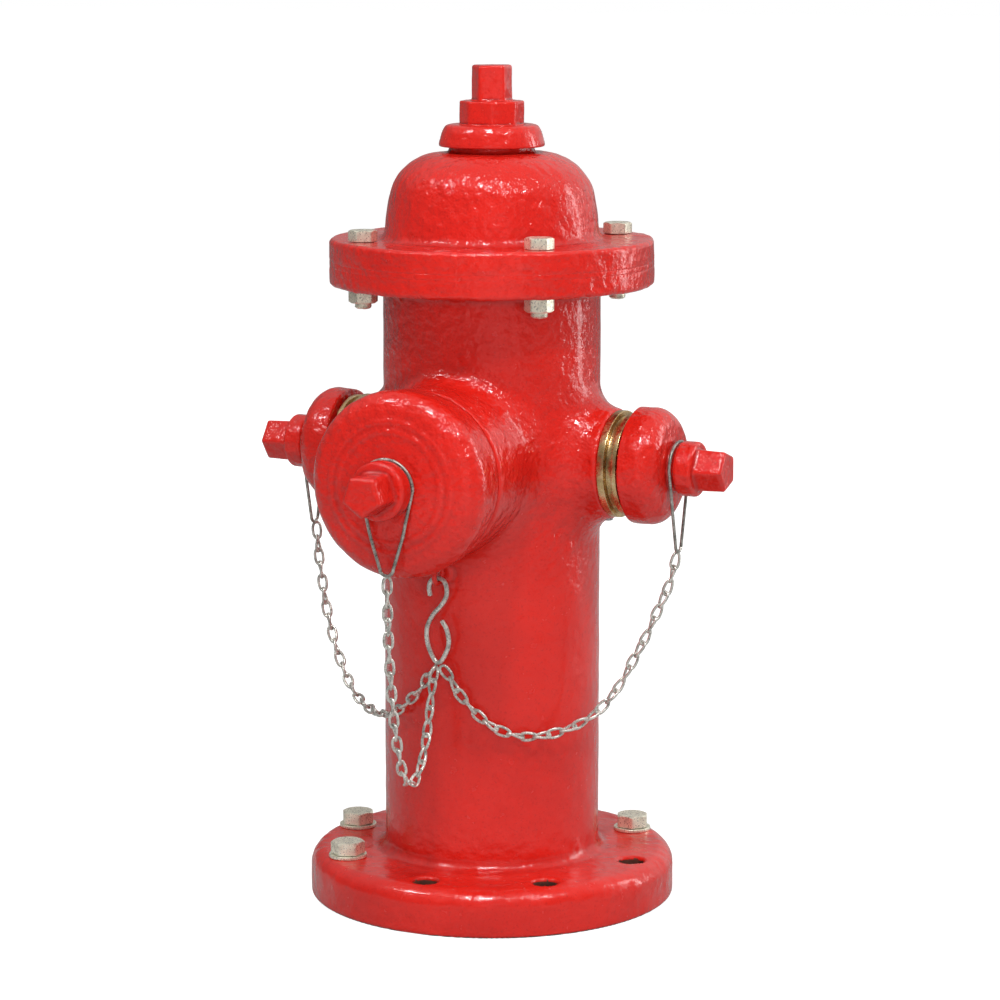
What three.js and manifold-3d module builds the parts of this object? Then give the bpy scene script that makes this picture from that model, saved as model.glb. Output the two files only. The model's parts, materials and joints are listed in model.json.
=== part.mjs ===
// A dry-barrel fire hydrant, upper section: everything above its ground-line flange.
// Millimetres, +Z up. The origin is on the barrel's axis, in the plane of the base flange's lower face.
// The pumper nozzle points along -Y, and the two hose nozzles along +X and -X.
import * as THREE from "three";
import { mergeVertices } from "three/addons/utils/BufferGeometryUtils.js";
import Module from "manifold-3d";

const wasm = await Module();
wasm.setup();

const GAP = 0.3; // clearance between pieces that touch
const CAP_GAP = 0.9; // keeps a turning cap's flat facets off the corners of its nozzle's

// Barrel and its flanges
const BARREL_SIDES = 36; // facets round the barrel
const BARREL_R = 102.5;
const WATERWAY_R = 90.5;
const BASE_R = 174.5;
const BASE_TOP = 44;
const BASE_BOLT_CIRCLE_R = 146;
const BASE_EDGE_R = 17; // rounding of the base flange's top edge
const BASE_HOLE_R = 12.5;
const TOP_FLANGE_R = 152.5;
const TOP_FLANGE_BOTTOM = 586.5;
const TOP_FLANGE_TOP = 606.2;
const GASKET_T = 1;
const BONNET_BOTTOM = TOP_FLANGE_TOP + GASKET_T + 2 * GAP;
const BONNET_FLANGE_TOP = 630;
const BONNET_BOLT_CIRCLE_R = 127;

// Nozzles: all three axes lie at one height
const NOZZLE_Z = 424;
const HOSE = {
  boss: 51, bossEnd: 129, bore: 31.75, body: 42, inner: 96, flange: 50, groove: 44.5, shoulder: 48.5,
  shoulderEnd: 148, thread: 38.9, end: 166, cap: 56, capStart: 151, capFace: 188, edge: 17, dome: 6,
  taper: 1, neck: 22, collar: 26, collarStart: 194, nutStart: 212, tip: 240, screw: 120,
};
const PUMPER = {
  boss: 80, bossEnd: 152, bore: 57, body: 76, inner: 96, flange: 78.5, groove: 76.5, shoulder: 77.5,
  shoulderEnd: 165.5, thread: 73, end: 200, cap: 88, capStart: 168, capFace: 218, edge: 12, dome: 7,
  taper: 4.5, neck: 24, collar: 27, collarStart: 223, nutStart: 241, tip: 270, screw: 140,
};
const NUT_R = 21; // corner radius of every five-sided nut
const BORE_SIDES = 24; // facets round each nozzle bore and what sits in it
const CAP_SEAT = 5.3; // from a nozzle's end face to the bottom of its cap's bore
const CAP_GASKET_T = 2.8;

// Bonnet and operating parts
const DOME_R = 103;
const DOME = { centreR: 47, centreZ: 659.5, radius: 50.5, wall: 12 }; // the arc that rounds its shoulder
const DOME_TOP = DOME.centreZ + DOME.radius;
const NECK_R = 40;
const NECK_TOP = 727;
const CHAMBER_R = 31;
const SHAFT_R = 20;
const STEM_R = 12.7;
const THREAD_BORE_R = 13.1;
const HOLD_DOWN_R = 31; // corner radius of the eight-sided nut
const HOLD_DOWN_BOTTOM = 736.5;
const HOLD_DOWN_TOP = 758;
const HOLD_DOWN_CORNER = 25.3; // degrees of one corner, counted from the pumper nozzle towards +X
const NUT_TOP = 791;
const NUT_CORNER = HOLD_DOWN_CORNER + 36; // a flat of the five-sided nut lies above that corner

// Fasteners
const BONNET_BOLT = { shank: 8, corner: 13.9, head: 10.7 };
const BASE_BOLT = { shank: 9.5, corner: 16.5, head: 12, washerR: 18, washerT: 3 };

// Chains, their loops and the hook that holds them
const CHAIN_R = 5.2;
const LOOP_WIRE_R = 1.6;
const LOOP_BOTTOM_Z = 352;
const HOOK_WIRE_R = 2.2;
const EYE = { y: -117, z: 328, ring: 8, wire: 2.5 };

const COLOURS = {
  red_paint: { color: 0xc3241f, roughness: 0.3, metalness: 0.1 },
  bronze: { color: 0xb98a4a, roughness: 0.35, metalness: 0.9 },
  zinc: { color: 0xc9c8c0, roughness: 0.35, metalness: 0.9 },
  steel: { color: 0x8d8f92, roughness: 0.4, metalness: 0.9 },
  rubber: { color: 0x1c1c1c, roughness: 0.85, metalness: 0 },
};

const hydrant = new THREE.Group();
hydrant.name = "fire_hydrant";

// ---- Making, cutting and joining solids -------------------------------------------------------

function toSolid(geometry) {
  const bare = geometry.clone();
  bare.deleteAttribute("normal");
  bare.deleteAttribute("uv");
  const merged = mergeVertices(bare, 1e-4);
  const index = merged.index.array;
  const triangles = [];
  for (let i = 0; i < index.length; i += 3) {
    const [a, b, c] = [index[i], index[i + 1], index[i + 2]];
    if (a !== b && b !== c && c !== a) triangles.push(a, b, c);
  }
  return new wasm.Manifold(new wasm.Mesh({
    numProp: 3,
    vertProperties: merged.attributes.position.array,
    triVerts: new Uint32Array(triangles),
  }));
}

function toGeometry(solid) {
  const mesh = solid.getMesh();
  const positions = new Float32Array(mesh.numVert * 3);
  for (let i = 0; i < mesh.numVert; i++) {
    positions.set(mesh.vertProperties.subarray(i * mesh.numProp, i * mesh.numProp + 3), i * 3);
  }
  const geometry = new THREE.BufferGeometry();
  geometry.setAttribute("position", new THREE.BufferAttribute(positions, 3));
  geometry.setIndex(new THREE.BufferAttribute(new Uint32Array(mesh.triVerts), 1));
  geometry.computeVertexNormals();
  return geometry;
}

function addPiece(name, solid, finish, parent = hydrant) {
  const mesh = new THREE.Mesh(toGeometry(solid), new THREE.MeshStandardMaterial(COLOURS[finish]));
  mesh.name = name;
  parent.add(mesh);
  return mesh;
}

function cut(solid, ...tools) {
  return tools.reduce((rest, tool) => rest.subtract(tool), solid);
}

function join(...solids) {
  return solids.reduce((all, next) => all.add(next));
}

// A solid of revolution about +Z from an outline of [radius, z] points. An outline that
// touches the axis starts and ends on it, and a ring's outline is closed here.
function revolve(outline, segments) {
  const area = outline.reduce((sum, [r, z], i) => {
    const [r2, z2] = outline[(i + 1) % outline.length];
    return sum + r * z2 - r2 * z;
  }, 0);
  const ordered = area > 0 ? outline : [...outline].reverse();
  const onAxis = outline.filter(([r]) => r === 0).length === 2;
  const points = onAxis ? startOnAxis(ordered) : [...ordered, ordered[0]];
  const lathe = new THREE.LatheGeometry(points.map(([r, z]) => new THREE.Vector2(r, z)), segments);
  lathe.rotateX(Math.PI / 2);
  return toSolid(lathe);
}

// Turns a closed outline round until it runs from one point on the axis to the other.
function startOnAxis(outline) {
  for (let i = 0; i < outline.length; i++) {
    const turned = [...outline.slice(i), ...outline.slice(0, i)];
    if (turned[0][0] === 0 && turned[turned.length - 1][0] === 0) return turned;
  }
  throw new Error("an outline on the axis needs its two axis points side by side");
}

function cylinder(radius, bottom, top, segments) {
  return revolve([[0, bottom], [radius, bottom], [radius, top], [0, top]], segments);
}

function ring(inner, outer, bottom, top, segments) {
  return revolve([[inner, bottom], [outer, bottom], [outer, top], [inner, top]], segments);
}

function torus(radius, wire, z, segments, sides) {
  const outline = [];
  for (let i = 0; i < sides; i++) {
    const a = ((i + 0.5) / sides) * 2 * Math.PI;
    outline.push([radius + wire * Math.cos(a), z + wire * Math.sin(a)]);
  }
  return revolve(outline, segments);
}

// A prism with a regular outline, tapering to topCorner, with its top edge chamfered. Its first
// corner points along -Y, and turn moves it round towards +X.
function taperedPrism(sides, corner, topCorner, bottom, top, chamfer, turn = 0) {
  const body = revolve([
    [0, bottom], [corner, bottom], [topCorner, top - chamfer], [topCorner - chamfer, top], [0, top],
  ], sides);
  return body.rotate([0, 0, turn]);
}

function hexPrism(corner, bottom, top) {
  return taperedPrism(6, corner, corner, bottom, top, 0.8);
}

function arc(centreR, centreZ, radius, startDeg, endDeg, steps) {
  const points = [];
  for (let i = 0; i <= steps; i++) {
    const a = THREE.MathUtils.degToRad(startDeg + ((endDeg - startDeg) * i) / steps);
    points.push([centreR + radius * Math.cos(a), centreZ + radius * Math.sin(a)]);
  }
  return points;
}

function tube(points, radius, sides, steps) {
  const section = new THREE.Shape();
  for (let i = 0; i < sides; i++) {
    const a = (i / sides) * 2 * Math.PI;
    if (i === 0) section.moveTo(radius * Math.cos(a), radius * Math.sin(a));
    else section.lineTo(radius * Math.cos(a), radius * Math.sin(a));
  }
  section.closePath();
  const path = new THREE.CatmullRomCurve3(points.map((p) => new THREE.Vector3(...p)));
  return toSolid(new THREE.ExtrudeGeometry(section, { steps, extrudePath: path, bevelEnabled: false }));
}

// A point at an angle round the barrel, counted from the pumper nozzle towards +X.
function around(radius, degrees) {
  const a = THREE.MathUtils.degToRad(degrees);
  return [radius * Math.sin(a), -radius * Math.cos(a)];
}

function placed(solid, x, y, z = 0) {
  return solid.translate([x, y, z]);
}

// Lays a solid made along +Z on a nozzle's axis.
const ALONG = {
  right: (solid) => solid.rotate([0, 90, 0]).translate([0, 0, NOZZLE_Z]),
  left: (solid) => solid.rotate([0, -90, 0]).translate([0, 0, NOZZLE_Z]),
  pumper: (solid) => solid.rotate([90, 0, 0]).translate([0, 0, NOZZLE_Z]),
};
const OUTWARD = { right: [1, 0], left: [-1, 0], pumper: [0, -1] };
const NOZZLES = [
  { side: "right", size: HOSE, nozzle: "hose_nozzle_right", cap: "hose_cap_right" },
  { side: "left", size: HOSE, nozzle: "hose_nozzle_left", cap: "hose_cap_left" },
  { side: "pumper", size: PUMPER, nozzle: "pumper_nozzle", cap: "pumper_cap" },
];

// ---- Castings -----------------------------------------------------------------------------------

const BASE_BOLT_ANGLES = [0, 45, 90, 135, 180, 225, 270, 315];
const BONNET_BOLT_ANGLES = [45, 135, 225, 315];

function barrel() {
  const shell = revolve([
    [WATERWAY_R, 0], [BASE_R - 4, 0], [BASE_R, 6], [BASE_R, BASE_TOP - BASE_EDGE_R],
    ...arc(BASE_R - BASE_EDGE_R, BASE_TOP - BASE_EDGE_R, BASE_EDGE_R, 30, 90, 2),
    [BARREL_R + 8, BASE_TOP], [BARREL_R + 2.3, BASE_TOP + 2.3], [BARREL_R, BASE_TOP + 8],
    [BARREL_R, TOP_FLANGE_BOTTOM - 8], [BARREL_R + 2.3, TOP_FLANGE_BOTTOM - 2.3],
    [BARREL_R + 8, TOP_FLANGE_BOTTOM],
    [TOP_FLANGE_R - 3, TOP_FLANGE_BOTTOM], [TOP_FLANGE_R, TOP_FLANGE_BOTTOM + 3],
    [TOP_FLANGE_R, TOP_FLANGE_TOP], [WATERWAY_R, TOP_FLANGE_TOP],
  ], BARREL_SIDES);
  const bosses = NOZZLES.map(({ side, size }) => ALONG[side](cylinder(size.boss, 70, size.bossEnd, 24)));
  const bores = NOZZLES.map(({ side, size }) =>
    ALONG[side](cylinder(size.body + 0.4, 60, 180, BORE_SIDES)));
  const baseHoles = BASE_BOLT_ANGLES.map((degrees) =>
    placed(cylinder(BASE_HOLE_R, -1, BASE_TOP + 1, 10), ...around(BASE_BOLT_CIRCLE_R, degrees)));
  const topHoles = BONNET_BOLT_ANGLES.map((degrees) =>
    placed(cylinder(9, TOP_FLANGE_BOTTOM - 1, TOP_FLANGE_TOP + 1, 10),
      ...around(BONNET_BOLT_CIRCLE_R, degrees)));
  const screwHoles = NOZZLES.map(({ side, size }) => nozzleScrew(side, size, 3.4, 6.5, 8));
  const eyeHole = cylinder(3.4, 95, 110, 8).rotate([90, 0, 0]).translate([0, 0, EYE.z]);
  const waterway = cylinder(WATERWAY_R, 20, TOP_FLANGE_TOP - 10, BARREL_SIDES);
  return cut(join(shell, ...bosses), waterway, ...bores, ...baseHoles, ...topHoles, ...screwHoles, eyeHole);
}

function bonnet() {
  const outside = [
    [TOP_FLANGE_R, BONNET_BOTTOM], [TOP_FLANGE_R, BONNET_FLANGE_TOP - 4],
    [TOP_FLANGE_R - 4, BONNET_FLANGE_TOP], [DOME_R + 8, BONNET_FLANGE_TOP],
    [DOME_R + 2.3, BONNET_FLANGE_TOP + 2.3], [DOME_R, BONNET_FLANGE_TOP + 8],
    ...arc(DOME.centreR, DOME.centreZ, DOME.radius, 15, 90, 5), [NECK_R + 3, DOME_TOP],
    [NECK_R, DOME_TOP + 3], [NECK_R, NECK_TOP],
  ];
  const inside = [
    [CHAMBER_R, NECK_TOP], [CHAMBER_R, 699.7], [25.5, 699.7], [25.5, 651], [CHAMBER_R, 651],
    [CHAMBER_R, 636], [NECK_R, 636], [NECK_R, DOME_TOP - DOME.wall],
    ...arc(DOME.centreR, DOME.centreZ, DOME.radius - DOME.wall, 90, 15, 4),
    [WATERWAY_R, 638], [WATERWAY_R, BONNET_BOTTOM],
  ];
  const plugBoss = cylinder(13, 80, 103, 16).rotate([-90, 0, 0]).translate([0, 0, 655]);
  const plugHole = cylinder(6.4, 70, 110, 10).rotate([-90, 0, 0]).translate([0, 0, 655]);
  const holes = BONNET_BOLT_ANGLES.map((degrees) =>
    placed(cylinder(9, BONNET_BOTTOM - 1, BONNET_FLANGE_TOP + 1, 10),
      ...around(BONNET_BOLT_CIRCLE_R, degrees)));
  return cut(join(revolve([...outside, ...inside], 30), plugBoss), plugHole, ...holes);
}

function bonnetGasket() {
  const bottom = TOP_FLANGE_TOP + GAP;
  const holes = BONNET_BOLT_ANGLES.map((degrees) =>
    placed(cylinder(9, bottom - 1, bottom + GASKET_T + 1, 8), ...around(BONNET_BOLT_CIRCLE_R, degrees)));
  return cut(ring(WATERWAY_R, TOP_FLANGE_R - 1, bottom, bottom + GASKET_T, BARREL_SIDES), ...holes);
}

function oilPlug() {
  const shank = cylinder(6, 92, 103.3, 10);
  const square = taperedPrism(4, 9, 9, 103.3, 110, 1, 45);
  return join(shank, square).rotate([-90, 0, 0]).translate([0, 0, 655]);
}

// ---- Operating parts ----------------------------------------------------------------------------

function weatherCap() {
  return revolve([
    [CHAMBER_R, NECK_TOP + GAP], [43.3, NECK_TOP + GAP], [44.5, 715.5], [49.2, 715.5], [49.8, 718],
    [46.6, 729.5], [43.4, 735], [39, HOLD_DOWN_BOTTOM - GAP], [CHAMBER_R, HOLD_DOWN_BOTTOM - GAP],
  ], 28);
}

function holdDownNut() {
  const octagon = taperedPrism(8, HOLD_DOWN_R, HOLD_DOWN_R - 0.5, HOLD_DOWN_BOTTOM, HOLD_DOWN_TOP, 1.5);
  const threaded = cylinder(CHAMBER_R - 0.4, 711.3, HOLD_DOWN_BOTTOM + 1, 28);
  const bore = cylinder(SHAFT_R + 0.6, 700, HOLD_DOWN_TOP + 1, 28);
  return cut(join(octagon.rotate([0, 0, HOLD_DOWN_CORNER]), threaded), bore);
}

function operatingNut() {
  const pentagon = taperedPrism(5, NUT_R, NUT_R - 0.8, HOLD_DOWN_TOP + GAP, NUT_TOP, 2.5, NUT_CORNER);
  const body = revolve([
    [THREAD_BORE_R, 655], [25, 655], [25, 700], [CHAMBER_R - 1, 700], [CHAMBER_R - 1, 708],
    [SHAFT_R, 708], [SHAFT_R, 728], [17, 728], [17, 732.6], [SHAFT_R, 732.6],
    [SHAFT_R, HOLD_DOWN_TOP], [14, HOLD_DOWN_TOP + 1], [0, HOLD_DOWN_TOP + 1], [0, 751],
    [THREAD_BORE_R, 751],
  ], 28);
  return join(pentagon, body);
}

function upperStem() {
  const rod = revolve([[0, 31.3], [STEM_R, 31.3], [STEM_R, 746], [STEM_R - 2, 748], [0, 748]], 20);
  return cut(rod, couplingPinHole());
}

function stemCoupling() {
  const sleeve = revolve([
    [0, 1], [18, 1], [18, 18], [15, 21], [15, 25], [20, 28], [20, 70], [THREAD_BORE_R, 70],
    [THREAD_BORE_R, 31], [0, 31],
  ], 24);
  return cut(sleeve, couplingPinHole());
}

function couplingPinHole() {
  return cylinder(4.4, -30, 30, 10).rotate([0, 90, 0]).translate([0, 0, 50]);
}

function couplingPin() {
  return cylinder(4, -23, 23, 10).rotate([0, 90, 0]).translate([0, 0, 50]);
}

function stemSealPlate() {
  const groove = (z) => [[THREAD_BORE_R, z], [15.9, z], [15.9, z + 3], [THREAD_BORE_R, z + 3]];
  return revolve([
    [THREAD_BORE_R, 634], [37, 634], [37, 635.7], [CHAMBER_R - GAP, 635.7], [CHAMBER_R - GAP, 650.7],
    [THREAD_BORE_R, 650.7], ...groove(644.5).reverse(), ...groove(637).reverse(),
  ], 20);
}

// ---- Nozzles and caps, made along +Z ----------------------------------------------------------------

function nozzle(size) {
  const flange = size.bossEnd + GAP;
  return revolve([
    [size.bore, size.inner], [size.body, size.inner], [size.body, 110], [size.body - 2.6, 110],
    [size.body - 2.6, 114], [size.body, 114], [size.body, flange], [size.flange, flange],
    [size.flange, flange + 7], [size.groove, flange + 7.5], [size.groove, size.shoulderEnd - 5.5],
    [size.shoulder, size.shoulderEnd - 5], [size.shoulder, size.shoulderEnd],
    [size.thread, size.shoulderEnd], [size.thread, size.end - 1.5], [size.thread - 1.5, size.end],
    [size.bore, size.end],
  ], BORE_SIDES);
}

function nozzleRing(size) {
  return torus(size.body - 1.1, 1.2, 112, BORE_SIDES, 5);
}

function nozzleScrew(side, size, shank, head, sides) {
  const [x, y] = OUTWARD[side];
  const screw = join(
    cylinder(shank, size.body + 1, size.boss + 2, sides),
    cylinder(head, size.boss + GAP, size.boss + 3.3, sides),
  );
  return screw.rotate([180, 0, 0]).translate([x * size.screw, y * size.screw, NOZZLE_Z]);
}

function cap(size) {
  const seat = size.end + CAP_SEAT;
  const bore = size.thread + CAP_GAP;
  const rim = size.capFace - size.dome - size.edge;
  const body = revolve([
    [bore, size.capStart], [size.cap - size.taper - 1.5, size.capStart],
    [size.cap - size.taper, size.capStart + 3], ...arc(size.cap - size.edge, rim, size.edge, 0, 75, 3),
    [size.neck + 8, size.capFace - 0.5], [size.neck, size.capFace + 1], [size.neck, size.collarStart],
    [size.collar, size.collarStart + 1], [size.collar, size.nutStart - 4], [NUT_R, size.nutStart],
    [0, size.nutStart], [0, seat], [bore, seat],
  ], BORE_SIDES);
  const pentagon = taperedPrism(5, NUT_R, NUT_R - 0.8, size.nutStart - 1, size.tip, 3);
  return join(body, pentagon);
}

function capGasket(size) {
  const top = size.end + CAP_SEAT - GAP;
  return ring(size.bore, size.thread - GAP, top - CAP_GASKET_T, top, 28);
}

// The long wire ring that hangs on a cap's neck. Its ends butt at one side.
function chainLoop(side, size) {
  const [x, y] = OUTWARD[side];
  const reach = (size.capFace + 1 + size.collarStart) / 2;
  const topR = size.neck + LOOP_WIRE_R + GAP;
  const bottomR = 7;
  const points = [[topR, NOZZLE_Z - 12]];
  for (const [w, z] of arc(0, NOZZLE_Z, topR, 0, 180, 8)) points.push([w, z]);
  points.push([-16, NOZZLE_Z - 35]);
  for (const [w, z] of arc(0, LOOP_BOTTOM_Z, bottomR, 180, 360, 6)) points.push([w, z]);
  points.push([16, NOZZLE_Z - 35], [topR - 0.8, NOZZLE_Z - 13.8]);
  const inSpace = points.map(([w, z]) => [x * reach - y * w, y * reach + x * w, z]);
  return tube(inSpace, LOOP_WIRE_R, 6, 32);
}

// ---- Fasteners ----------------------------------------------------------------------------------

function bonnetBolt(degrees) {
  const { shank, corner, head } = BONNET_BOLT;
  const bottom = BONNET_FLANGE_TOP + GAP;
  const bolt = join(hexPrism(corner, bottom, bottom + head), cylinder(shank, 565, bottom + 1, 12));
  return placed(bolt, ...around(BONNET_BOLT_CIRCLE_R, degrees));
}

function bonnetNut(degrees) {
  const { shank, corner } = BONNET_BOLT;
  const top = TOP_FLANGE_BOTTOM - GAP;
  const nut = cut(hexPrism(corner, top - 13, top), cylinder(shank + 0.4, top - 20, top + 5, 12));
  return placed(nut, ...around(BONNET_BOLT_CIRCLE_R, degrees));
}

function baseBolt(degrees) {
  const { shank, corner, head, washerT } = BASE_BOLT;
  const bottom = BASE_TOP + washerT + 2 * GAP;
  const bolt = join(hexPrism(corner, bottom, bottom + head), cylinder(shank, 1, bottom + 1, 12));
  return placed(bolt, ...around(BASE_BOLT_CIRCLE_R, degrees));
}

function baseWasher(degrees) {
  const { shank, washerR, washerT } = BASE_BOLT;
  const bottom = BASE_TOP + GAP;
  return placed(ring(shank + 0.7, washerR, bottom, bottom + washerT, 14),
    ...around(BASE_BOLT_CIRCLE_R, degrees));
}

// ---- Chains and hook ----------------------------------------------------------------------------

function chainEye() {
  const eye = torus(EYE.ring, EYE.wire, 0, 20, 8).rotate([0, 90, 0]).translate([0, EYE.y, EYE.z]);
  const shank = cylinder(3, 96, -EYE.y - EYE.ring, 8).rotate([90, 0, 0]).translate([0, 0, EYE.z]);
  return join(eye, shank);
}

// S-shaped wire: its upper bend passes through the eye, and its lower bend holds the chains.
function sHook() {
  const path = [[-8, 308], [-9, 316], [-6.4, 322.4], [0, 325], [6.4, 322.4], [9, 316], [8.5, 308],
    [3, 299], [-5, 290], [-11, 278], [-11, 264], [-6, 251], [0, 245], [6, 251], [11, 264], [9, 277],
    [4, 285]];
  return tube(path.map(([x, z]) => [x, EYE.y, z]), HOOK_WIRE_R, 6, 34);
}

// Each chain hangs in a curve from the foot of its loop to the foot of the hook.
const CHAIN_ROUTES = {
  right: [
    [189.5, 0, 341], [187, -1, 328], [183, -3, 312], [178, -6, 298], [173, -9, 285], [165, -14, 264],
    [156, -20, 244], [146, -26, 222], [135, -34, 204], [122, -43, 190], [106, -55, 180],
    [89, -69, 175], [72, -84, 175], [55, -96, 181], [40, -104, 192], [27, -109, 206], [17, -112, 219],
    [10, -114, 232],
  ],
  left: [
    [-189.5, 0, 341], [-188, -1, 328], [-186, -2, 312], [-182, -4, 292], [-177, -7, 270],
    [-170, -11, 249], [-161, -17, 229], [-150, -24, 211], [-137, -33, 196], [-121, -45, 185],
    [-103, -59, 180], [-85, -74, 180], [-67, -88, 184], [-50, -99, 192], [-35, -106, 204],
    [-22, -110, 217], [-11, -114, 232],
  ],
  pumper: [
    [0, -220, 336], [0, -220, 322], [0, -219, 304], [0, -218, 284], [0, -216, 262], [0, -213, 238],
    [0, -209, 214], [0, -203, 190], [0, -196, 168], [0, -187, 151], [0, -175, 143], [0, -162, 146],
    [0, -151, 160], [0, -142, 180], [0, -136, 201], [0, -131, 219], [0, -128, 232],
  ],
};

function chain(side) {
  return tube(CHAIN_ROUTES[side], CHAIN_R, 8, 18);
}

// ---- Assembly -----------------------------------------------------------------------------------

addPiece("barrel", barrel(), "red_paint");
addPiece("bonnet", bonnet(), "red_paint");
addPiece("bonnet_gasket", bonnetGasket(), "rubber");
addPiece("oil_fill_plug", oilPlug(), "red_paint");
addPiece("weather_cap", weatherCap(), "red_paint");
addPiece("hold_down_nut", holdDownNut(), "red_paint");
addPiece("thrust_washer", ring(SHAFT_R + 1, CHAMBER_R - 1, 708.3, 711, 24), "bronze");
addPiece("operating_nut", operatingNut(), "red_paint");
addPiece("operating_nut_o_ring", torus(18.75, 1.4, 730.3, 20, 5), "rubber");
addPiece("upper_stem", upperStem(), "steel");
addPiece("stem_coupling", stemCoupling(), "steel");
addPiece("coupling_pin", couplingPin(), "steel");
addPiece("stem_seal_plate", stemSealPlate(), "bronze");
addPiece("stem_o_ring_upper", torus(14.4, 1.1, 646, 18, 5), "rubber");
addPiece("stem_o_ring_lower", torus(14.4, 1.1, 638.5, 18, 5), "rubber");

for (const { side, size, nozzle: nozzleName, cap: capName } of NOZZLES) {
  addPiece(nozzleName, ALONG[side](nozzle(size)), "bronze");
  addPiece(nozzleName + "_o_ring", ALONG[side](nozzleRing(size)), "rubber");
  addPiece(nozzleName + "_screw", nozzleScrew(side, size, 3, 5, 8), "steel");
  addPiece(capName, ALONG[side](cap(size)), "red_paint");
  addPiece(capName + "_gasket", ALONG[side](capGasket(size)), "rubber");
  addPiece("chain_loop_" + side, chainLoop(side, size), "zinc");
  addPiece("chain_" + side, chain(side), "zinc");
}

addPiece("chain_eye", chainEye(), "red_paint");
addPiece("s_hook", sHook(), "zinc");

BONNET_BOLT_ANGLES.forEach((degrees, i) => {
  addPiece("bonnet_bolt_" + (i + 1), bonnetBolt(degrees), "zinc");
  addPiece("bonnet_nut_" + (i + 1), bonnetNut(degrees), "zinc");
});

// Three of the base flange's eight holes are open: at 0, 45 and 90 degrees.
BASE_BOLT_ANGLES.slice(3).forEach((degrees, i) => {
  addPiece("base_bolt_" + (i + 1), baseBolt(degrees), "zinc");
  addPiece("base_washer_" + (i + 1), baseWasher(degrees), "zinc");
});

export default hydrant;
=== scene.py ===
import json
import math

import bpy
import numpy as np
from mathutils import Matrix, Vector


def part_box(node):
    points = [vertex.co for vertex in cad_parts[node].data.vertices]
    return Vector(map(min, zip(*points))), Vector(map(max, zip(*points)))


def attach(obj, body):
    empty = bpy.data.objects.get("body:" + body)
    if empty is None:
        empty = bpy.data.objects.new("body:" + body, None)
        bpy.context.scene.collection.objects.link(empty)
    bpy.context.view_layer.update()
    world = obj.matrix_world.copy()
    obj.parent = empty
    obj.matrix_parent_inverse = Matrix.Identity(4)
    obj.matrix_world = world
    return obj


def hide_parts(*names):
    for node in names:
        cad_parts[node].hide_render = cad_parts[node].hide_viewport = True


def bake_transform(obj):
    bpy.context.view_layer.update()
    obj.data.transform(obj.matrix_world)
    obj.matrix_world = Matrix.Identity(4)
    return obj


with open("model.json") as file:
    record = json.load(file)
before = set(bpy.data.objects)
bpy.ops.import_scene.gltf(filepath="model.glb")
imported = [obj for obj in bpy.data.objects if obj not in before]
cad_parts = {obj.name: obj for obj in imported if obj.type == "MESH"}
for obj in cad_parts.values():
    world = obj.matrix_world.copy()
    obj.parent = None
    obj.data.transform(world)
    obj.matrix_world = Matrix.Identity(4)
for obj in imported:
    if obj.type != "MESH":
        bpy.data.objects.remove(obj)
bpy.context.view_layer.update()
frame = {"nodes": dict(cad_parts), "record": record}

import openvdb
from mathutils import Matrix, Vector

MM = 0.001

# ---- Driving dimensions, in millimetres, from the frame where it holds them --------------------


def span(node, axis):
    low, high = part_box(node)
    return low[axis] / MM, high[axis] / MM


BASE_R = span("barrel", 0)[1]
TOP_FLANGE_TOP = span("barrel", 2)[1]
BARREL_R = 102.5
WATERWAY_R = 90.5
BASE_TOP = 44.0
BASE_HOLE_R = 12.5
BASE_BOLT_CIRCLE_R = 146.0
TOP_FLANGE_R = 152.5
TOP_FLANGE_BOTTOM = 586.5
BONNET_BOTTOM, NECK_TOP = span("bonnet", 2)
BONNET_FLANGE_TOP = 630.0
BONNET_BOLT_CIRCLE_R = 127.0
NOZZLE_Z = 424.0
DOME = dict(radius=103.0, centre_r=47.0, centre_z=659.5, arc=50.5, wall=12.0, slope=15.0)
HOLD_DOWN_BOTTOM, HOLD_DOWN_TOP = 736.5, 758.0
NUT_TOP = span("operating_nut", 2)[1]
HOSE = dict(
    boss=51, boss_end=129, fillet=30, bore=31.75, body=42, inner=96, flange=50, groove=44.5,
    shoulder=48.5, shoulder_end=148, thread=38.9, end=166, cap=55, cap_start=151, cap_face=188,
    edge=17, dome=6.0, taper=1.0, ridges=(), neck=22, collar=25.5, collar_start=194,
    nut_start=212, tip=240, pitch=3.387,
)
PUMPER = dict(
    boss=80, boss_end=152, fillet=20, bore=57, body=76, inner=96, flange=78.5, groove=76.5,
    shoulder=77.5, shoulder_end=165.5, thread=73, end=200, cap=88, cap_start=168, cap_face=219,
    edge=17, dome=11.0, taper=4.5, ridges=(51, 60), neck=24, collar=27, collar_start=223,
    nut_start=241, tip=270, pitch=6.35,
)
NUT_R = 21.0
BONNET_HEX, BASE_HEX = 12.0, 14.3
HOOK_Y, EYE_Z = -117.0, 328.0
OIL_PLUG_Z = 655.0
LINK = dict(length=18.4, width=10.7, wire=2.8)
CAMERA_AZIMUTH = math.radians(25.3)
# Studio glow: (lowest, highest, where it starts, where it is full) along a direction
WORLD = dict(above=(0.17, 0.50, 0.25, 0.8), beside=(0.0, 0.50, 0.3, 0.95))


# ---- Camera, stage and light -------------------------------------------------------------------


def around(radius, degrees, z=0.0):
    """A point round the barrel's axis, counted from the pumper nozzle towards +X."""
    a = math.radians(degrees)
    return Vector((radius * math.sin(a), -radius * math.cos(a), z))


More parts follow.
